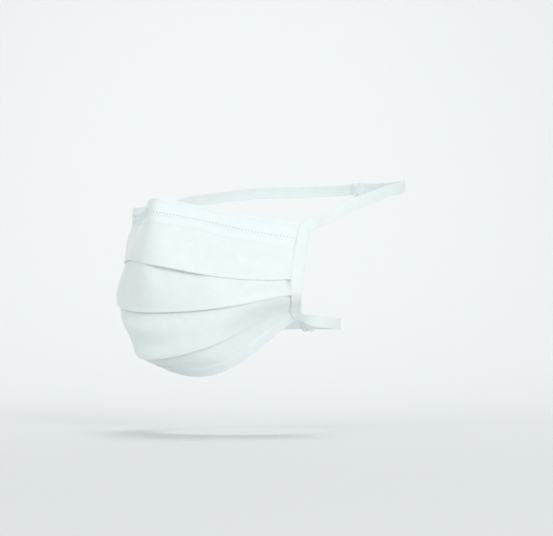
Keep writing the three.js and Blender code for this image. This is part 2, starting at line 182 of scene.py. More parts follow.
def surface(across, down):
    """Outer surface that the folds touch. down runs from 0 at the top edge to 4 at the bottom edge."""
    across, down = np.broadcast_arrays(np.asarray(across, float), np.asarray(down, float))
    stops = np.stack([line_point(line, across) for line in HALF_LINES])
    inside = np.clip(down, 0, PANELS)
    point = spline(stops, inside)
    beyond = down - inside
    before = spline(stops, inside - np.sign(beyond) * EDGE_STEP)
    return point + (point - before) * (np.abs(beyond) / EDGE_STEP)[..., None]


def unit(v):
    return v / np.linalg.norm(v, axis=-1, keepdims=True)


def outward(across, down):
    """Direction straight out of the outer surface."""
    side = surface(across + PROBE_ACROSS, down) - surface(across - PROBE_ACROSS, down)
    fall = surface(across, down + PROBE_DOWN) - surface(across, down - PROBE_DOWN)
    return unit(np.cross(fall, side))


def place(across, down, out):
    return surface(across, down) + outward(across, down) * np.asarray(out)[..., None]


def panel_lengths(across):
    """Height of each panel down the cloth."""
    stops = [line_point(line, np.asarray(across, float)) for line in HALF_LINES]
    return np.stack([np.linalg.norm(b - a, axis=-1) for a, b in zip(stops, stops[1:])])


def across_from_side(distance):
    return 1 - distance / HALF_SPAN


def soft_form(across, down):
    """Gentle hollows and swells that all the layers share."""
    calm = ease(down / CALM_TOP) * ease((CALM_SIDE - np.abs(across)) / CALM_RUN)
    form = RIPPLE * (np.sin(9 * across + 1.3 * down) + np.sin(5.1 * across - 2.1 * down + 1.7))
    for row in SOFT_PLACES:
        swell = bell(across, row["across"], row["wide"]) * bell(down, row["down"], row["tall"])
        form = form + row["out"] * swell
    return calm * form


def closed_mesh(name, rings, lay, pressed=0):
    """Solid skin over rings (n, m, 3). The second half of a ring runs back along the first.

    lay is each point's place on the flat cloth, and pressed is 1 in a weld dot.
    """
    count, size = rings.shape[:2]
    a = (np.arange(count - 1)[:, None] * size + np.arange(size)[None]).ravel()
    b = (np.arange(count - 1)[:, None] * size + (np.arange(size)[None] + 1) % size).ravel()
    i = np.arange(size // 2 - 1)
    cap = np.stack([i, size - 1 - i, size - 2 - i, i + 1], -1)
    faces = np.concatenate([np.stack([a, b, b + size, a + size], -1), cap, cap[:, ::-1] + (count - 1) * size])
    points = rings.reshape(-1, 3)
    corner = points[faces]
    volume = np.einsum("ij,ij->i", corner[:, 0], np.cross(corner[:, 1], corner[:, 2])).sum()
    if volume < 0:
        faces = faces[:, ::-1]
    mesh = bpy.data.meshes.new(name)
    mesh.from_pydata(points.tolist(), [], faces.tolist())
    mesh.polygons.foreach_set("use_smooth", np.ones(len(faces), bool))
    lay_data = mesh.attributes.new("lay", "FLOAT_VECTOR", "POINT").data
    lay_data.foreach_set("vector", lay.reshape(-1, 3).astype(np.float32).ravel())
    press_data = mesh.attributes.new("press", "FLOAT", "POINT").data
    press_data.foreach_set("value", np.broadcast_to(pressed, (count, size)).astype(np.float32).ravel())
    mesh.update()
    piece = bpy.data.objects.new(name, mesh)
    bpy.context.scene.collection.objects.link(piece)
    return piece


def cloth_material(name, colour, bond=0.0012):
    """Nonwoven cloth: short fibres pressed together at small points, matt, with a soft sheen."""
    material = bpy.data.materials.new(name)
    material.use_nodes = True
    nodes, links = material.node_tree.nodes, material.node_tree.links
    shader = nodes["Principled BSDF"]
    shader.inputs["Sheen Weight"].default_value = 0.12
    shader.inputs["Sheen Roughness"].default_value = 0.5
    shader.inputs["Specular IOR Level"].default_value = 0.25

    def node(kind, **values):
        made = nodes.new(kind)
        for key, value in values.items():
            setattr(made, key, value)
        return made

    lay = node("ShaderNodeAttribute", attribute_name="lay")
    press = node("ShaderNodeAttribute", attribute_name="press")
    turned = node("ShaderNodeMapping")
    turned.inputs["Rotation"].default_value = (0, 0, math.radians(45))
    links.new(lay.outputs["Vector"], turned.inputs["Vector"])
    points = node("ShaderNodeTexVoronoi", feature="F1")
    points.inputs["Scale"].default_value = 1 / bond
    points.inputs["Randomness"].default_value = 0.12
    links.new(turned.outputs["Vector"], points.inputs["Vector"])
    spot = node("ShaderNodeMapRange", interpolation_type="SMOOTHSTEP")
    spot.inputs["From Min"].default_value = 0.12
    spot.inputs["From Max"].default_value = 0.38
    links.new(points.outputs["Distance"], spot.inputs["Value"])
    stretched = node("ShaderNodeMapping")
    stretched.inputs["Scale"].default_value = (1, 3, 1)
    links.new(lay.outputs["Vector"], stretched.inputs["Vector"])
    fibre = node("ShaderNodeTexNoise")
    fibre.inputs["Scale"].default_value = 1700
    fibre.inputs["Detail"].default_value = 5
    fibre.inputs["Roughness"].default_value = 0.62
    links.new(stretched.outputs["Vector"], fibre.inputs["Vector"])
    cloud = node("ShaderNodeTexNoise")
    cloud.inputs["Scale"].default_value = 160
    cloud.inputs["Detail"].default_value = 4
    links.new(lay.outputs["Vector"], cloud.inputs["Vector"])

    height = node("ShaderNodeMath", operation="MULTIPLY_ADD")
    height.inputs[1].default_value = 0.55
    links.new(fibre.outputs["Fac"], height.inputs[0])
    links.new(spot.outputs["Result"], height.inputs[2])
    height_all = node("ShaderNodeMath", operation="MULTIPLY_ADD")
    height_all.inputs[1].default_value = 0.8
    links.new(cloud.outputs["Fac"], height_all.inputs[0])
    links.new(height.outputs["Value"], height_all.inputs[2])
    bump = node("ShaderNodeBump")
    bump.inputs["Strength"].default_value = 0.5
    bump.inputs["Distance"].default_value = 0.00009
    links.new(height_all.outputs["Value"], bump.inputs["Height"])
    links.new(bump.outputs["Normal"], shader.inputs["Normal"])

    tone = node("ShaderNodeValToRGB")
    tone.color_ramp.elements[0].position, tone.color_ramp.elements[1].position = 0.3, 0.7
    tone.color_ramp.elements[0].color = (*[c * 0.965 for c in colour], 1)
    tone.color_ramp.elements[1].color = (*colour, 1)
    links.new(cloud.outputs["Fac"], tone.inputs["Fac"])
    # Weld dots are darkened here: partly the greyer look of pressed cloth, partly painted shade in each dot's
    # small dent.
    pressed = node("ShaderNodeMix", data_type="RGBA", blend_type="MULTIPLY")
    pressed.inputs["B"].default_value = (0.62, 0.65, 0.67, 1)
    links.new(press.outputs["Fac"], pressed.inputs["Factor"])
    links.new(tone.outputs["Color"], pressed.inputs["A"])
    bonded = node("ShaderNodeMix", data_type="RGBA", blend_type="MULTIPLY")
    bonded.inputs["A"].default_value = (0.96, 0.965, 0.97, 1)
    bonded.inputs["B"].default_value = (1, 1, 1, 1)
    links.new(spot.outputs["Result"], bonded.inputs["Factor"])
    whole = node("ShaderNodeMix", data_type="RGBA", blend_type="MULTIPLY")
    whole.inputs["Factor"].default_value = 1
    links.new(pressed.outputs["Result"], whole.inputs["A"])
    links.new(bonded.outputs["Result"], whole.inputs["B"])
    links.new(whole.outputs["Result"], shader.inputs["Base Color"])
    gloss = node("ShaderNodeMapRange")
    gloss.inputs["To Min"].default_value = 0.78
    gloss.inputs["To Max"].default_value = 0.95
    links.new(fibre.outputs["Fac"], gloss.inputs["Value"])
    links.new(gloss.outputs["Result"], shader.inputs["Roughness"])
    return material


def press_at(across):
    """How far the layers are pressed together: 0 in the open cloth, 1 at the side strips."""
    free = (1 - np.abs(across)) * HALF_SPAN - STRIP_WIDTH - PRESS_LEAD
    return 1 - ease(free / PRESS_RUN)


def fold_step(fold, across, press):
    """How far the next panel lies behind a fold, just under it."""
    if fold == 1:
        rise = ease((across - FIRST_OPENING["start"]) / FIRST_OPENING["rise"])
        fall = ease((across - FIRST_OPENING["end"]) / FIRST_OPENING["fall"])
        step = FOLD_STEP + FIRST_OPENING["out"] * rise * (1 - fall)
    else:
        step = mix(FOLD_STEP, MIDDLE_STEP[fold], 1 - ease((np.abs(across) - MIDDLE_HALF) / MIDDLE_FADE))
    return mix(step, 2 * PRESSED_PITCH, press)


def pleated_cloth():
    """One closed skin: down each panel, back up under its fold and down again, from top to bottom."""
    u = np.linspace(-1, 1, CLOTH_COLUMNS)
    across = across_from_side(CLOTH_SIDE) * (0.86 * u + 0.14 * u ** 3)
    lengths = panel_lengths(across)
    press = press_at(across)
    thick = mix(CLOTH_THICK, PRESSED_THICK, press)
    pitch = mix(LAYER_PITCH, PRESSED_PITCH, press)
    pleat = mix(PLEAT_MIDDLE, PLEAT_SIDE, np.abs(across) ** 1.5)
    radius = pitch / 2
    side_distance = (1 - np.abs(across)) * HALF_SPAN
    rows = []

    def panel_level(panel, down):
        """Level of a panel behind the outer surface: it comes out to the surface at its own fold."""
        if panel == 1:
            return np.zeros_like(across)
        step = fold_step(panel - 1, across, press)
        rise = np.clip(panel - down, 0, 1)
        under = (down - panel + 1) * lengths[panel - 1]
        notch = bell(side_distance, STRIP_WIDTH + NOTCH_FROM_STRIP, NOTCH_WIDTH)
        notch = notch * bell(under, NOTCH_UNDER, NOTCH_LENGTH[panel - 2])
        visible = -step * rise ** mix(1, PRESSED_BEND, press) - NOTCH_DEPTH[panel - 2] * notch
        hidden_share = np.clip((panel - 1 - down) * lengths[panel - 2] / pleat, 0, 1)
        hidden = panel_level(panel - 1, down) - mix(step, 2 * pitch, hidden_share)
        return np.where(down >= panel - 1, visible, hidden)

    def add(down, level, n_down, n_out):
        rows.append([down + 0 * across, level, n_down + 0 * across, n_out + 0 * across])

    for panel in range(1, PANELS + 1):
        here = lengths[panel - 1]
        if panel == 1:
            top = CLOTH_TOP / here
        else:
            above = lengths[panel - 2]
            for share in np.linspace(0, 1, PLEAT_ROWS)[1:]:
                at = mix(panel - 1 - (pleat - radius) / above, panel - 1, share)
                add(at, panel_level(panel, at), 0, 1)
            top = np.full_like(across, panel - 1 + 0.012)
        end = panel - radius / here if panel < PANELS else PANELS - CLOTH_BOTTOM / here
        for share in np.linspace(0, 1, PANEL_ROWS[panel - 1]):
            at = mix(top, end, share)
            add(at, panel_level(panel, at), 0, 1)
        if panel == PANELS:
            break
        fold_level = panel_level(panel, end) - radius
        for angle in U_TURN:
            c, s = math.cos(angle), math.sin(angle)
            add(end + radius * c / here, fold_level + radius * s, c, s)
        pleat_top = panel - (pleat - radius) / here
        for share in np.linspace(0, 1, PLEAT_ROWS):
            at = mix(end, pleat_top, share)
            add(at, panel_level(panel, at) - pitch, 0, -1)
        turn_level = panel_level(panel, pleat_top) - 1.5 * pitch
        for angle in U_TURN:
            c, s = math.cos(angle), math.sin(angle)
            add(pleat_top - radius * c / here, turn_level + radius * s, c, -s)
        add(pleat_top, turn_level - radius, 0, 1)

    down, level, n_down, n_out = (np.array(column) for column in zip(*rows))
    here = lengths[np.clip(down.astype(int), 0, PANELS - 1), np.arange(len(across))[None]]
    faces = []
    for face in (1, -1):
        at_down = down + face * n_down * thick / 2 / here
        out = level + face * n_out * thick / 2 + soft_form(across[None], down)
        faces.append(place(np.broadcast_to(across, down.shape), at_down, out))
    steps = np.linalg.norm(np.diff((faces[0] + faces[1]) / 2, axis=0), axis=2)
    travel = np.concatenate([np.zeros((1, len(across))), np.cumsum(steps, axis=0)])
    lay = np.stack([np.broadcast_to(across * HALF_SPAN, travel.shape), travel, np.zeros_like(travel)], -1)
    rings = np.concatenate([faces[0], faces[1][::-1]]).transpose(1, 0, 2)
    lay = np.concatenate([lay, lay[::-1]]).transpose(1, 0, 2)
    return closed_mesh("pleated_cloth", rings, lay)


body_cloth = pleated_cloth()
# The slight green-cyan tint of this white, with red held lowest, is painted reflected light from a green head
# the mask was worn on.
body_cloth.data.materials.append(cloth_material("pleat_cloth_look", (0.84, 0.88, 0.885)))
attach(body_cloth, "root")
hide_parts("mask_body")


# Hems along the top and the bottom edge
# Each is the edge of the cloth turned over and welded down with rows of small pressed dots.
# The top one is deep and holds the nose wire, and the bottom one is a narrow band.

TOP_HEM_DEPTH, BOTTOM_HEM_DEPTH = 0.0145, 0.008
TOP_HEM_END, BOTTOM_HEM_END = 0.0026, 0.0022  # from the side edge
DOT_PITCH, DOT_LONG, DOT_WIDE, DOT_SUNK = 0.0019, 0.00048, 0.00034, 0.00016
COLUMNS_PER_DOT = 6
TOP_DOTS = [
    dict(distance=0.0014, shift=0.0, strength=0.25),
    dict(distance=0.0025, shift=0.5, strength=0.25),
    dict(distance=0.0086, shift=0.0, strength=0.85),
    dict(distance=0.0101, shift=0.5, strength=0.35),
]
BOTTOM_DOTS = [
    dict(distance=0.0013, shift=0.0, strength=0.3),
    dict(distance=0.0028, shift=0.5, strength=0.38),
    dict(distance=0.0043, shift=0.0, strength=0.38),
    dict(distance=0.0058, shift=0.5, strength=0.3),
]
TOP_EDGES = np.concatenate([  # rows of the mesh, closer together where the dots are
    np.arange(0.0005, 0.0033, 0.00031),
    [0.0038, 0.0046, 0.0053, 0.0058, 0.0060, 0.0062, 0.0064, 0.0066, 0.0071],
    np.arange(0.0077, 0.0109, 0.00029),
    [0.0114, 0.0122, 0.0131, 0.0139, 0.01435, TOP_HEM_DEPTH],
])
BOTTOM_EDGES = np.concatenate([np.arange(0.0005, 0.0070, 0.0003), [0.0074, 0.0078, BOTTOM_HEM_DEPTH]])
HEM_FRONT, HEM_OPEN_EDGE, HEM_INSIDE = 0.00050, 0.00026, 0.00021  # from the middle of the cloth
BOTTOM_OPEN_EDGE = 0.00030
WIRE_HALF, WIRE_FADE, WIRE_SWELL, WIRE_ROOM = 0.0515, 0.004, 0.00026, 0.00018
BUCKLE_START, BUCKLE_OUT = 0.007, 0.0016  # on the right of the ridge


def dots(run, edge, dot_rows):
    """Weld dots, 0 to 1, at a place run along the hem and edge from its fold."""
    total = np.zeros(np.broadcast(run, edge).shape)
    for row in dot_rows:
        along = ((run / DOT_PITCH + row["shift"] + 0.5) % 1 - 0.5) * DOT_PITCH / DOT_LONG
        down = (edge - row["distance"]) / DOT_WIDE
        total = np.maximum(total, row["strength"] * np.exp(-(along ** 4 + down ** 4)))
    return total


def hem(name, at_top, end, edges, dot_rows, outer_face, inner_face, level_at):
    """A narrow U round an edge of the cloth. edges are the distances of its rows from the fold."""
    columns = int(2 * across_from_side(end) * HALF_SPAN / (DOT_PITCH / COLUMNS_PER_DOT))
    across = np.linspace(-1, 1, columns) * across_from_side(end)
    lengths = panel_lengths(across)
    run = across * HALF_SPAN
    rows, press, lay = [], [], []

    def row(edge, out, pressed, v):
        down = edge / lengths[0] if at_top else PANELS - edge / lengths[-1]
        rows.append(place(across, down, out + level_at(across, down) + soft_form(across, down)))
        press.append(pressed + 0 * across)
        lay.append(np.stack([run, v + 0 * run, 0 * run], -1))

    for edge in edges[::-1]:
        pressed = dots(run, edge, dot_rows)
        row(edge, outer_face(edge, run) - DOT_SUNK * pressed, pressed, edge)
    for angle in U_TURN:
        row(edges[0] * (1 - math.cos(angle)), outer_face(edges[0], run) * math.sin(angle), 0, 0)
    for edge in edges:
        pressed = dots(run, edge, dot_rows)
        row(edge, -outer_face(edge, run) + DOT_SUNK * pressed, pressed, -edge)
    inner_edges = [edges[-1], 0.75 * edges[-1], 0.5 * edges[-1], 0.0015, 0.0009]
    share = np.linspace(0, 1, len(rows))
    spread = np.interp(share, np.linspace(0, 1, 9), inner_edges + inner_edges[-2::-1])
    sign = np.interp(share, [0, 0.375, 0.5, 0.625, 1], [-1, -1, 0, 1, 1])
    for edge, face in zip(spread, sign):
        row(edge, inner_face(edge, run) * face, 0, edge)
    rings = np.stack(rows).transpose(1, 0, 2)
    return closed_mesh(name, rings, np.stack(lay).transpose(1, 0, 2), np.stack(press).T)


def at_wire(run):
    return 1 - ease((np.abs(run) - WIRE_HALF) / WIRE_FADE)


def top_outer(edge, run):
    """Front of the top hem: swollen over the wire, flat at its open edge, buckled beside the ridge."""
    over = ease((edge + 0.0002) / 0.0014) * (1 - ease((edge - 0.0052) / 0.0024))
    plain = mix(HEM_FRONT, HEM_OPEN_EDGE, ease((edge - 0.0102) / 0.0043))
    along = -run - BUCKLE_START
    plain = mix(plain, HEM_OPEN_EDGE, ease(along / 0.006) * ease((edge - 0.0068) / 0.0012))
    buckle = ease(along / 0.0030) * (1 - ease((along - 0.060) / 0.018))
    buckle = buckle * (1 - ease((edge - 0.0060) / 0.0004)) * ease((edge + 0.0004) / 0.002)
    return plain + (WIRE_SWELL * at_wire(run) + 0.00004) * over + BUCKLE_OUT * buckle


def top_inner(edge, run):
    return HEM_INSIDE + WIRE_ROOM * at_wire(run) * (1 - ease((edge - 0.0050) / 0.0012))


def bottom_outer(edge, run):
    return mix(HEM_FRONT, BOTTOM_OPEN_EDGE, ease((edge - 0.006) / 0.002)) + 0 * run


def bottom_inner(edge, run):
    return HEM_INSIDE + 0 * run


def top_level(across, down):
    return 0 * across


def bottom_level(across, down):
    return -fold_step(3, across, press_at(across)) * np.clip(PANELS - down, 0, 1)


top_piece = hem("top_hem_cloth", True, TOP_HEM_END, TOP_EDGES, TOP_DOTS, top_outer, top_inner, top_level)
bottom_piece = hem("bottom_hem_cloth", False, BOTTOM_HEM_END, BOTTOM_EDGES, BOTTOM_DOTS,
                   bottom_outer, bottom_inner, bottom_level)
for piece, node in ((top_piece, "top_hem"), (bottom_piece, "bottom_hem")):
    # The green-cyan tint of this white is painted reflected light from a green head the mask was worn on.
    piece.data.materials.append(cloth_material(node + "_look", (0.85, 0.89, 0.90)))
    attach(piece, "root")
    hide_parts(node)


# Nose wire
# A flat soft aluminium wire in the pocket of the top hem, bent to a ridge in the middle.
# The cloth hides it, so its own plain form is kept and it gets a rolled metal finish.

def wire_material():
    material = bpy.data.materials.new("wire_metal_look")
    material.use_nodes = True
    nodes, links = material.node_tree.nodes, material.node_tree.links
    shader = nodes["Principled BSDF"]
    shader.inputs["Metallic"].default_value = 0.9
    where = nodes.new("ShaderNodeTexCoord")
    grain = nodes.new("ShaderNodeTexNoise")
    grain.inputs["Scale"].default_value = 900
    grain.inputs["Detail"].default_value = 6
    links.new(where.outputs["Object"], grain.inputs["Vector"])
    tone = nodes.new("ShaderNodeValToRGB")
    tone.color_ramp.elements[0].color = (0.62, 0.64, 0.66, 1)
    tone.color_ramp.elements[1].color = (0.76, 0.78, 0.8, 1)
    links.new(grain.outputs["Fac"], tone.inputs["Fac"])
    links.new(tone.outputs["Color"], shader.inputs["Base Color"])
    gloss = nodes.new("ShaderNodeMapRange")
    gloss.inputs["To Min"].default_value = 0.3
    gloss.inputs["To Max"].default_value = 0.5
    links.new(grain.outputs["Fac"], gloss.inputs["Value"])
    links.new(gloss.outputs["Result"], shader.inputs["Roughness"])
    bump = nodes.new("ShaderNodeBump")
    bump.inputs["Strength"].default_value = 0.3
    bump.inputs["Distance"].default_value = 0.00003
    links.new(grain.outputs["Fac"], bump.inputs["Height"])
    links.new(bump.outputs["Normal"], shader.inputs["Normal"])
    return material


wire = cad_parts["nose_wire"]
wire.data.materials.clear()
wire.data.materials.append(wire_material())


# Strips that bind the sides and run on as ties
# Each is one long tape of nonwoven cloth folded double along its length. Its fold is the outer edge
# of the mask's side, and past both corners it goes on as a flat tie in a wide loop.

TAPE_THICK, EDGE_THICK = 0.00030, 0.00006
TIE_WIDTH, TIE_TRIM = 0.007, 0.0004
FOLD_BULGE = 0.0010
EDGE_MIDDLE = -0.00094
WIDTH_SHARES = np.array([0, 0.12, 0.25, 0.38, 0.51, 0.64, 0.77, 0.88, 0.95, 1])
HALF_TURN = np.radians([65, 40, 14, -14, -40, -65])
FRONT_GAP, BACK_GAP = 0.00005, 0.00012
FRONT_LEVEL, OVER_HEM = 0.00017, 0.00055
FOLD_SINK, SINK_UNDER, SINK_WIDTH = 0.00034, 0.0022, 0.0018  # the tape dips under each fold's end
TIE_ROOT, TIE_LEAD, TIE_CLEAR = 0.003, 0.004, 0.016  # the tie leaves its corner straight
TIE_BLEND, SQUARE_BLEND, CLOSE_BLEND = 0.022, 0.012, 0.009
STOP_TURN, STOP_STEP, KNOT_GAP = 8, 0.0021, 0.0003
CLOSE_RUN, CLOSE_STEP, FAR_STEP = 0.02, 0.0008, 0.002  # spacing of the tie's sections
# Way of the tape on the mask, in metres: its fold and its open edge, each as (in from the side, down)
TOP_PIVOT, TOP_RADIUS, TOP_TURN = (-0.0010, 0.0043), (0.0065, 0.0062), {1: 64, -1: 86}
SIDE_START, SIDE_END, SIDE_BOW = (-0.0010, 0.0055), (0.0007, 0.0072), (0.0009, 0.0014)
TOP_TURN_ROWS, SIDE_ROWS, BOTTOM_TURN_ROWS = 16, 74, 20
CORNER_CLOSE = 0.6  # how far the two legs come together at a corner
BOTTOM_TURN = [  # measured up from the bottom corner
    dict(fold=(0.0007, 0.0140), open=(0.0072, 0.0140)),
    dict(fold=(0.0007, 0.0123), open=(0.0070, 0.0118)),
    dict(fold=(0.0004, 0.0107), open=(0.0062, 0.0090)),
    dict(fold=(-0.0001, 0.0092), open=(0.0049, 0.0065)),
    dict(fold=(-0.0010, 0.0075), open=(0.0034, 0.0037)),
    dict(fold=(-0.0019, 0.0061), open=(0.0018, 0.0013)),
]
UPPER_LOOP = dict(half_width=0.075, half_length=0.096, back=0.110, unit=0.0175,
                 turns=[-22, -13, -2, 9, 39, 90], left=[-0.48, -0.114, 0.177, 0.463, 0.863, 1],
                 right=[-0.24, -0.03, 0.19, 0.463, 0.863, 1])
LOWER_LOOP = dict(half_width=0.050, half_length=0.058, back=0.091, unit=0.0712,
                 turns=[-4, 15, 45, 90], left=[-0.99, -1.005, -1.005, -1], right=[-0.99, -1.005, -1.005, -1])


def side_down(v, lengths):
    """Share down a side edge for a distance along it from the top corner."""
    inside = np.interp(v, np.concatenate([[0], np.cumsum(lengths)]), np.arange(PANELS + 1))
    return inside + np.minimum(v, 0) / lengths[0] + np.maximum(v - lengths.sum(), 0) / lengths[-1]


def loop_point(loop, side, turn):
    angle = np.radians(turn)
    heights = loop["left" if side > 0 else "right"]
    return np.stack([side * loop["half_width"] * np.cos(angle),
                     loop["back"] + loop["half_length"] * np.sin(angle),
                     loop["unit"] * np.interp(turn, loop["turns"], heights)], -1)


def loop_outward(loop, point):
    v = np.stack([point[..., 0] / loop["half_width"] ** 2,
                  (point[..., 1] - loop["back"]) / loop["half_length"] ** 2, 0 * point[..., 0]], -1)
    return unit(v)


def leg_front(v, side, lengths):
    """Level of the front leg of the tape over the hems and the pressed cloth."""
    over_top = top_outer(np.clip(v, 0.0002, TOP_HEM_DEPTH), side * 0.088) + FRONT_GAP
    over_top = over_top - 0.00012 * ease((v - TOP_HEM_DEPTH) / 0.001)
    over_bottom = mix(FRONT_LEVEL, OVER_HEM, ease((v - lengths.sum() + BOTTOM_HEM_DEPTH + 0.001) / 0.003))
    sunk = sum(bell(v, fold + SINK_UNDER, SINK_WIDTH) for fold in np.cumsum(lengths)[:-1])
    return np.maximum(over_top, over_bottom) - FOLD_SINK * sunk * ease(WIDTH_SHARES / 0.9)


def leg_back(v, lengths):
    """Level of the back leg, just behind the pressed layers: the panel, its pleat and the hems."""
    down = np.clip(side_down(v, lengths), 0, PANELS - 0.001)
    panel = np.floor(down).astype(int)
    rise = panel + 1 - down
    behind = np.where(panel > 0, 2 * PRESSED_PITCH * rise ** PRESSED_BEND, 0)
    pleat = np.where(panel < PANELS - 1, 1 - ease((rise * lengths[panel] - PLEAT_SIDE) / 0.002), 0)
    hem_back = HEM_FRONT + np.where(panel == PANELS - 1, 2 * PRESSED_PITCH * rise, 0)
    return -np.maximum(behind + 2 * PRESSED_PITCH * pleat + PRESSED_THICK / 2, hem_back) - BACK_GAP


def side_sections(side, lengths):
    """Sections of the tape down the side of the mask: points, normals and the levels of both legs."""
    side_length = lengths.sum()
    sections = []

    def section(fold, edge, close):
        """fold and edge are (in from the side, down). close brings the legs together, from 0 to 1."""
        d, v = (mix(a, b, WIDTH_SHARES) for a, b in zip(fold, edge))
        front, back = leg_front(v, side, lengths), leg_back(v, lengths)
        middle = (front.mean() + back.mean()) / 2
        across, down = side * across_from_side(d), side_down(v, lengths)
        sections.append((surface(across, down), outward(across, down),
                         mix(front, middle, close), mix(back, middle, close)))

    for angle in np.linspace(TOP_TURN[side], 0, TOP_TURN_ROWS):
        a, share = math.radians(angle), angle / TOP_TURN[side]
        radius = mix(*TOP_RADIUS, share)
        edge = (TOP_PIVOT[0] + radius * math.cos(a), TOP_PIVOT[1] - radius * math.sin(a))
        section(TOP_PIVOT, edge, CORNER_CLOSE * ease((share - 0.5) / 0.5))
    top_v, end_v = TOP_PIVOT[1], side_length - BOTTOM_TURN[0]["fold"][1]
    for share in np.linspace(0, 1, SIDE_ROWS)[1:-1]:
        v = mix(top_v, end_v, share)
        fold_in, open_in = (mix(a, b, share) + bow * math.sin(math.pi * share)
                            for a, b, bow in zip(SIDE_START, SIDE_END, SIDE_BOW))
        section((fold_in, v), (open_in, v), 0)
    turns = np.array([[*row["fold"], *row["open"]] for row in BOTTOM_TURN])
    for share in np.linspace(0, 1, BOTTOM_TURN_ROWS):
        at = share * (len(turns) - 1)
        fold_in, fold_up, open_in, open_up = (np.interp(at, range(len(turns)), column) for column in turns.T)
        section((fold_in, side_length - fold_up), (open_in, side_length - open_up),
                CORNER_CLOSE * ease((share - 0.6) / 0.4))
    return [np.stack(column) for column in zip(*sections)]


def along_curve(where, walked, curve):
    return np.stack([np.interp(where, walked, curve[:, k]) for k in range(3)], -1)


def tie_sections(side, loop, root, corner):
    """The tie from a corner of the mask, whose section is corner, along its loop to the knot."""
    edge_points, normals, front, back = corner
    first, last = loop["turns"][0], 90 - math.degrees(KNOT_GAP / loop["half_width"])
    turns = np.linspace(first, last, round((last - first) / STOP_TURN) + 1)
    stops = np.concatenate([[root], loop_point(loop, side, turns)])
    fine = spline(stops, np.linspace(0, len(stops) - 1, 1200))
    walked = walk(fine)
    far = np.append(np.arange(TIE_CLEAR, walked[-1], STOP_STEP)[:-1], walked[-1])
    centre = along_curve(far, walked, fine)
    start = (edge_points + normals * ((front + back) / 2)[:, None]).mean(0)
    wide_start, out_start = unit(edge_points[-1] - edge_points[0]), unit(normals.mean(0))
    away = unit(np.cross(wide_start, out_start))
    if np.dot(away, centre[0] - start) < 0:
        away = -away
    picked = np.unique(np.append(np.arange(0, len(centre), 6), len(centre) - 1))
    joined = np.concatenate([[start, start + away * TIE_LEAD], centre[picked]])
    whole = spline(joined, np.linspace(0, len(joined) - 1, 2400))
    walked = walk(whole)
    end = walked[-1]
    where = np.concatenate([np.arange(CLOSE_STEP, CLOSE_RUN, CLOSE_STEP),
                            np.arange(CLOSE_RUN, end - 0.001, FAR_STEP), [end]])
    point = along_curve(where, walked, whole)
    along = unit(along_curve(np.minimum(where + 0.0006, end), walked, whole)
                 - along_curve(np.maximum(where - 0.0006, 0), walked, whole))
    share = ease(where / TIE_BLEND)[:, None]
    out = unit(mix(out_start, loop_outward(loop, point), share))
    square = unit(np.cross(along, out))
    if np.dot(square[0], wide_start) < 0:
        square = -square
    wide = unit(mix(wide_start, square, ease(where / SQUARE_BLEND)[:, None]))
    face = unit(out - wide * np.sum(out * wide, -1, keepdims=True))
    width = mix(np.linalg.norm(edge_points[-1] - edge_points[0]), TIE_WIDTH - TIE_TRIM, share)
    points = point[:, None] + wide[:, None] * ((WIDTH_SHARES - 0.5)[None, :] * width)[..., None]
    gap = mix((front - back).mean() / 2, FRONT_GAP, ease(where / CLOSE_BLEND))
    return [points, *(np.repeat(x[:, None], len(WIDTH_SHARES), 1) for x in (face, gap, -gap))]


def strip_sections(side):
    """Sections of a whole tape: points and normals from its fold to its open edge, and both legs' levels."""
    lengths = panel_lengths(np.array([float(side)]))[:, 0]
    middle = side_sections(side, lengths)
    ties = []
    for loop, at, root_v in ((UPPER_LOOP, 0, TIE_ROOT), (LOWER_LOOP, -1, lengths.sum() - TIE_ROOT)):
        root = place(side * across_from_side(-0.001), side_down(root_v, lengths), EDGE_MIDDLE)
        ties.append(tie_sections(side, loop, root, [column[at] for column in middle]))
    upper, lower = ties
    return [np.concatenate([u[::-1], m, l]) for u, m, l in zip(upper, middle, lower)]


def strip_piece(name, side):
    """Closed skin of a tape folded double: out over its front leg, round its fold and back."""
    base, normal, front, back = strip_sections(side)
    travel = walk(base.mean(1))
    wobble = 0.00006 * np.sin(travel * 310) + 0.00005 * np.sin(travel * 127 + 1)
    wide = unit(base[:, -1] - base[:, 0])
    thick = mix(TAPE_THICK, EDGE_THICK, ease((WIDTH_SHARES - 0.86) / 0.14))
    shares = range(len(WIDTH_SHARES))
    rows, lay = [], []

    def row(k, level, v, bulge=0):
        rows.append(base[:, k] + normal[:, k] * level[:, None] - wide * (bulge + 0 * travel)[:, None])
        lay.append(np.stack([travel, v * TIE_WIDTH + 0 * travel, 0 * travel], -1))

    middle = (front[:, 0] + back[:, 0]) / 2
    reach = (front[:, 0] - back[:, 0]) / 2 + TAPE_THICK
    bulge = np.minimum(reach, FOLD_BULGE)
    for k in shares[::-1]:
        row(k, front[:, k] + thick[k] + wobble, WIDTH_SHARES[k])
    for angle in HALF_TURN:
        row(0, middle + reach * math.sin(angle), 0, bulge * math.cos(angle))
    for k in shares:
        row(k, back[:, k] - thick[k] - wobble, -WIDTH_SHARES[k])
    for k in shares[::-1]:
        row(k, back[:, k], -WIDTH_SHARES[k])
    reach = np.maximum(reach - TAPE_THICK, 0.00004)
    bulge = np.maximum(bulge - TAPE_THICK, 0.00002)
    for angle in -HALF_TURN:
        row(0, middle + reach * math.sin(angle), 0, bulge * math.cos(angle))
    for k in shares:
        row(k, front[:, k], WIDTH_SHARES[k])
    return closed_mesh(name, np.stack(rows).transpose(1, 0, 2), np.stack(lay).transpose(1, 0, 2))


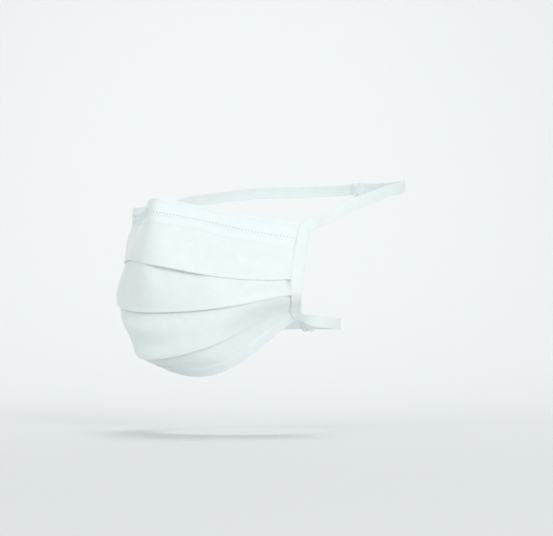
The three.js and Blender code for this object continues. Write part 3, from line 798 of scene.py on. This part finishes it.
# The green-cyan tint of this white, shared by the knots, is painted reflected light from a green head the
# mask was worn on.
strip_look = cloth_material("strip_cloth_look", (0.835, 0.875, 0.88), bond=0.0010)
for side, word in ((1, "left"), (-1, "right")):
    strip = strip_piece(word + "_strip", side)
    strip.data.materials.append(strip_look)
    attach(strip, "root")
    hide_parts("tie_strip_" + word)


# Knots of the ties at the back of both loops
# The ends of the two ties pass over each other in a small flat knot, drawn tight.
# Each is made as one rounded piece with the turns of the tape on it.

KNOT_HALF_LENGTH, KNOT_HALF_DEPTH, KNOT_HALF_HEIGHT = 0.0054, 0.0028, 0.0052
KNOT_ALONG, KNOT_AROUND = 60, 96
TURN_DEPTH = 0.18  # how far the turns of the tape stand out, as a share


def knot_piece(name, loop):
    around = np.linspace(0, 2 * np.pi, KNOT_AROUND, endpoint=False)
    t, turn = np.meshgrid(np.linspace(-1, 1, KNOT_ALONG), around, indexing="ij")
    x = t * KNOT_HALF_LENGTH
    swell = np.sqrt(np.clip(1 - np.abs(t) ** 4, 0, 1)) * 0.9 + 0.08
    c, s = np.cos(turn), np.sin(turn)
    turns = np.maximum(bell(t - 0.55 * s, 0.05, 0.32), 0.8 * bell(t + 0.6 * s, -0.1, 0.25))
    swell = swell * (1 - TURN_DEPTH + TURN_DEPTH * turns)
    centre = loop_point(loop, 1, np.degrees(np.arccos(np.abs(x) / loop["half_width"])))
    y = centre[..., 1] + np.sign(c) * np.abs(c) ** 0.8 * KNOT_HALF_DEPTH * swell
    z = centre[..., 2] + np.sign(s) * np.abs(s) ** 0.8 * KNOT_HALF_HEIGHT * swell
    return closed_mesh(name, np.stack([x, y, z], -1), np.stack([x, turn * 0.004, 0 * x], -1))


for word, loop in (("upper", UPPER_LOOP), ("lower", LOWER_LOOP)):
    knot = knot_piece(word + "_knot_cloth", loop)
    knot.data.materials.append(strip_look)
    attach(knot, "root")
    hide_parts(word + "_knot")


# Floor, light and camera
# A plain pale floor that curves up into a backdrop, soft light from the right, and the camera at
# the angle of the photo.

FLOOR_DOWN, FLOOR_HALF = 0.135, 2.5
FLOOR_NEAR, FLOOR_FAR, SWEEP_RADIUS, BACKDROP_TOP, FLOOR_TURN = -1.6, 0.9, 0.6, 2.4, 36


def floor_mesh():
    """A flat floor with a quarter round up into a wall."""
    profile = [(FLOOR_NEAR, 0.0), (FLOOR_FAR, 0.0)]
    for a in np.radians(np.arange(6, 91, 6)):
        profile.append((FLOOR_FAR + SWEEP_RADIUS * math.sin(a), SWEEP_RADIUS * (1 - math.cos(a))))
    profile.append((FLOOR_FAR + SWEEP_RADIUS, BACKDROP_TOP))
    verts = [(x, y, z - FLOOR_DOWN) for y, z in profile for x in (-FLOOR_HALF, FLOOR_HALF)]
    faces = [(2 * k, 2 * k + 1, 2 * k + 3, 2 * k + 2) for k in range(len(profile) - 1)]
    mesh = bpy.data.meshes.new("floor")
    mesh.from_pydata(verts, [], faces)
    mesh.polygons.foreach_set("use_smooth", np.ones(len(faces), bool))
    return mesh


floor = bpy.data.objects.new("floor", floor_mesh())
bpy.context.scene.collection.objects.link(floor)
floor_look = bpy.data.materials.new("floor_look")
floor_look.use_nodes = True
floor_shader = floor_look.node_tree.nodes["Principled BSDF"]
floor_shader.inputs["Base Color"].default_value = (0.70, 0.71, 0.71, 1)
floor_shader.inputs["Roughness"].default_value = 0.9
floor.data.materials.append(floor_look)
floor.rotation_euler = (0, 0, math.radians(FLOOR_TURN))

PHOTO_WIDTH, PHOTO_HEIGHT = 553, 536
ORIGIN_PIXEL = (158.5, 197.7)
AZIMUTH, ELEVATION, FOCAL_PIXELS, DISTANCE = 36.0, -2.0, 2012.0, 1.150
SENSOR_WIDTH = 36  # millimetres
azimuth, elevation = math.radians(AZIMUTH), math.radians(ELEVATION)
back = np.array([math.sin(azimuth) * math.cos(elevation), -math.cos(azimuth) * math.cos(elevation),
                 math.sin(elevation)])
right = np.array([math.cos(azimuth), math.sin(azimuth), 0])
up = np.cross(right, -back)
x_off = (ORIGIN_PIXEL[0] - PHOTO_WIDTH / 2) / FOCAL_PIXELS * DISTANCE
y_off = -(ORIGIN_PIXEL[1] - PHOTO_HEIGHT / 2) / FOCAL_PIXELS * DISTANCE
eye = -(right * x_off + up * y_off - back * DISTANCE)
camera_data = bpy.data.cameras.new("camera")
camera_data.sensor_fit = "HORIZONTAL"
camera_data.sensor_width = SENSOR_WIDTH
camera_data.lens = FOCAL_PIXELS / PHOTO_WIDTH * SENSOR_WIDTH
camera = bpy.data.objects.new("camera", camera_data)
camera.matrix_world = Matrix(np.column_stack([right, up, back, eye]).tolist() + [[0, 0, 0, 1]])
bpy.context.scene.collection.objects.link(camera)
bpy.context.scene.camera = camera


def soft_light(name, place_from, aim, size, power):
    data = bpy.data.lights.new(name, "AREA")
    data.shape, data.size, data.energy = "DISK", size, power
    light = bpy.data.objects.new(name, data)
    z = unit(np.array(place_from, float) - np.array(aim, float))
    x = unit(np.cross([0, 0, 1], z))
    y = np.cross(z, x)
    light.matrix_world = Matrix(np.column_stack([x, y, z, place_from]).tolist() + [[0, 0, 0, 1]])
    bpy.context.scene.collection.objects.link(light)


soft_light("key", (1.6, -0.8, 0.48), (0, 0.02, -0.05), 0.6, 8.5)
soft_light("fill", (-0.35, -1.6, 0.35), (0, 0.02, -0.05), 1.0, 5.0)
soft_light("side", (1.25, 0.10, -0.06), (0.05, 0.05, -0.07), 0.14, 2.0)
soft_light("backdrop_light", (-0.42, 0.6, 1.5), (-0.75, 1.05, -0.1), 0.8, 12)
world = bpy.data.worlds.new("world")
world.use_nodes = True
sky = world.node_tree.nodes["Background"]
sky.inputs["Color"].default_value = (0.95, 0.995, 1.0, 1)
sky.inputs["Strength"].default_value = 0.70
bpy.context.scene.world = world
bpy.context.scene.view_settings.view_transform = "Standard"
